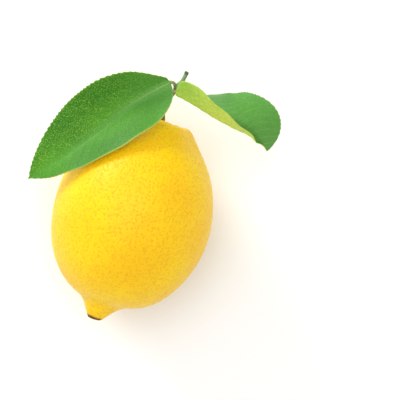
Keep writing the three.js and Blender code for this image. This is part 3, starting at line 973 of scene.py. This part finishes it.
def calyx_points():
    row = np.arange(2 * CALYX_RINGS + 1)[:, None]
    turn = np.arange(CALYX_COLUMNS)[None] / CALYX_COLUMNS * 2 * np.pi
    share = np.minimum(row, 2 * CALYX_RINGS - row) / CALYX_RINGS
    lobes = np.cos(CALYX_LOBES * turn)
    edge = CALYX_RADIUS + CALYX_LOBE_DEPTH * lobes + CALYX_EDGE_RIPPLE * np.sin(11 * turn)
    radius = edge * share
    grooves = CALYX_GROOVE_DEPTH * lobes * hill(share - CALYX_GROOVE_PLACE, CALYX_GROOVE_WIDTH)
    ripples = CALYX_RIPPLE * np.sin(17 * turn + 6 * share) * share
    crown = CALYX_CROWN * hill(share, CALYX_CROWN_WIDTH)
    thickness = (CALYX_EDGE + crown + grooves + ripples) * (1 - share**CALYX_ROUNDING)
    top = row <= CALYX_RINGS
    along = dish_floor(radius) + CALYX_GAP + np.where(top, thickness, 0)
    return np.stack([radius * np.sin(turn), along, AXIS_HEIGHT + radius * np.cos(turn)], axis=-1), radius


calyx_rows, calyx_radius = calyx_points()
calyx_faces = skin_faces(2 * CALYX_RINGS - 1, CALYX_COLUMNS)
calyx = make_piece("calyx_button", skin_points(calyx_rows), calyx_faces,
                   stem_share=skin_values(calyx_radius / CALYX_RADIUS))
CALYX_GREEN = (0.17, 0.23, 0.07, 1)
CALYX_TAN = (0.27, 0.23, 0.10, 1)
CALYX_SKIN = make_bark("calyx_skin", CALYX_GREEN, CALYX_TAN, foot=(TWIG_BROWN, 0.3), tip=(CALYX_TAN, 0.85))
calyx.data.materials.append(CALYX_SKIN)

# %% [markdown]
# ## Hanging each piece on the body in place of its solid
#
# Every piece rides on the part's one body and hides the plain solid it replaces.

# %% Pieces and the frame
for piece, node, slot in (
    (fruit, "fruit", "peel"),
    (calyx, "calyx", "calyx"),
    (twig, "twig", "twig"),
    (stalk_left, "stalk_left", "stalk"),
    (stalk_right, "stalk_right", "stalk"),
    (leaf_left, "leaf_left", "leaf"),
    (leaf_right, "leaf_right", "leaf"),
):
    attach(piece, "root")
    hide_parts(node)
    print(piece.name, "stands for", node)

# %% [markdown]
# ## Table, light and camera
#
# The table is one plain pale square, a hair below the fruit so that the two never share a face.

# %% Table
TABLE_HALF = 3000
TABLE_DROP = 0.05
TABLE_GREY, TABLE_ROUGHNESS = (0.93, 0.93, 0.93), 0.7
turns = ((-1, -1), (1, -1), (1, 1), (-1, 1))
corners = [(TABLE_HALF * x, TABLE_HALF * y, -TABLE_DROP) for x, y in turns]
table = make_piece("table", corners, [(0, 1, 2, 3)])
paint, _, _, _ = new_material("pale_table", TABLE_GREY, Roughness=TABLE_ROUGHNESS)
table.data.materials.append(paint)

# %% [markdown]
# A small soft light, the window, stands low on the side of the stem end, where it draws the broad highlight
# on the fruit's shoulder and throws the leaf's shadow on the peel. A wide one overhead, the sky, lights the
# leaves and the flat of the fruit, and the pale room fills the rest and lights the edges.

# %% Light
LEAN = math.radians(17.4)
ROOM_BRIGHTNESS = 0.8


def add_light(name, across, along, height, size, power):
    """across and along are in the picture's own directions, in metres from the fruit."""
    data = bpy.data.lights.new(name, "AREA")
    data.shape = "DISK"
    data.size = size
    data.energy = power
    light = bpy.data.objects.new(name, data)
    bpy.context.scene.collection.objects.link(light)
    x = across * math.cos(LEAN) - along * math.sin(LEAN)
    y = across * math.sin(LEAN) + along * math.cos(LEAN)
    light.location = (x, y, height)
    ahead = Vector((0, 0, AXIS_HEIGHT * MM)) - light.location
    light.rotation_euler = ahead.to_track_quat("-Z", "Y").to_euler()
    print(name, power, "W")


add_light("window", across=-0.58, along=0.78, height=0.35, size=0.45, power=6.4)
add_light("sky", across=-0.15, along=0.25, height=1.5, size=1.2, power=8.0)
world = bpy.data.worlds.new("pale_room")
bpy.context.scene.world = world
world.use_nodes = True
background = world.node_tree.nodes["Background"]
background.inputs["Color"].default_value = (1, 1, 1, 1)
background.inputs["Strength"].default_value = ROOM_BRIGHTNESS
bpy.context.scene.view_settings.view_transform = "Standard"

# %% [markdown]
# The camera hangs straight above with a long lens, and is rolled so that the fruit leans as it should. The
# fruit's width in the picture gives the millimetres per pixel, and those and the height give the lens. The
# middle of the picture lies beside the fruit's middle, so that place is given in millimetres too.

# %% Camera
PICTURE_WIDTH = 400
SENSOR_WIDTH = 36.0
FRUIT_RADIUS_IN_PIXELS = 79.55
MM_PER_PIXEL = FRUIT_RADIUS / FRUIT_RADIUS_IN_PIXELS
CAMERA_HEIGHT = 900
PICTURE_CENTRE = (22.66, 13.43)
FARTHEST_SEEN = 20

camera_data = bpy.data.cameras.new("camera")
camera_data.sensor_width = SENSOR_WIDTH
camera_data.lens = SENSOR_WIDTH * CAMERA_HEIGHT / (PICTURE_WIDTH * MM_PER_PIXEL)
camera_data.clip_end = FARTHEST_SEEN
camera = bpy.data.objects.new("camera", camera_data)
bpy.context.scene.collection.objects.link(camera)
camera.location = Vector((*PICTURE_CENTRE, AXIS_HEIGHT + CAMERA_HEIGHT)) * MM
camera.rotation_euler = (0, 0, LEAN)
bpy.context.scene.camera = camera
print("lens", round(camera_data.lens), "mm")
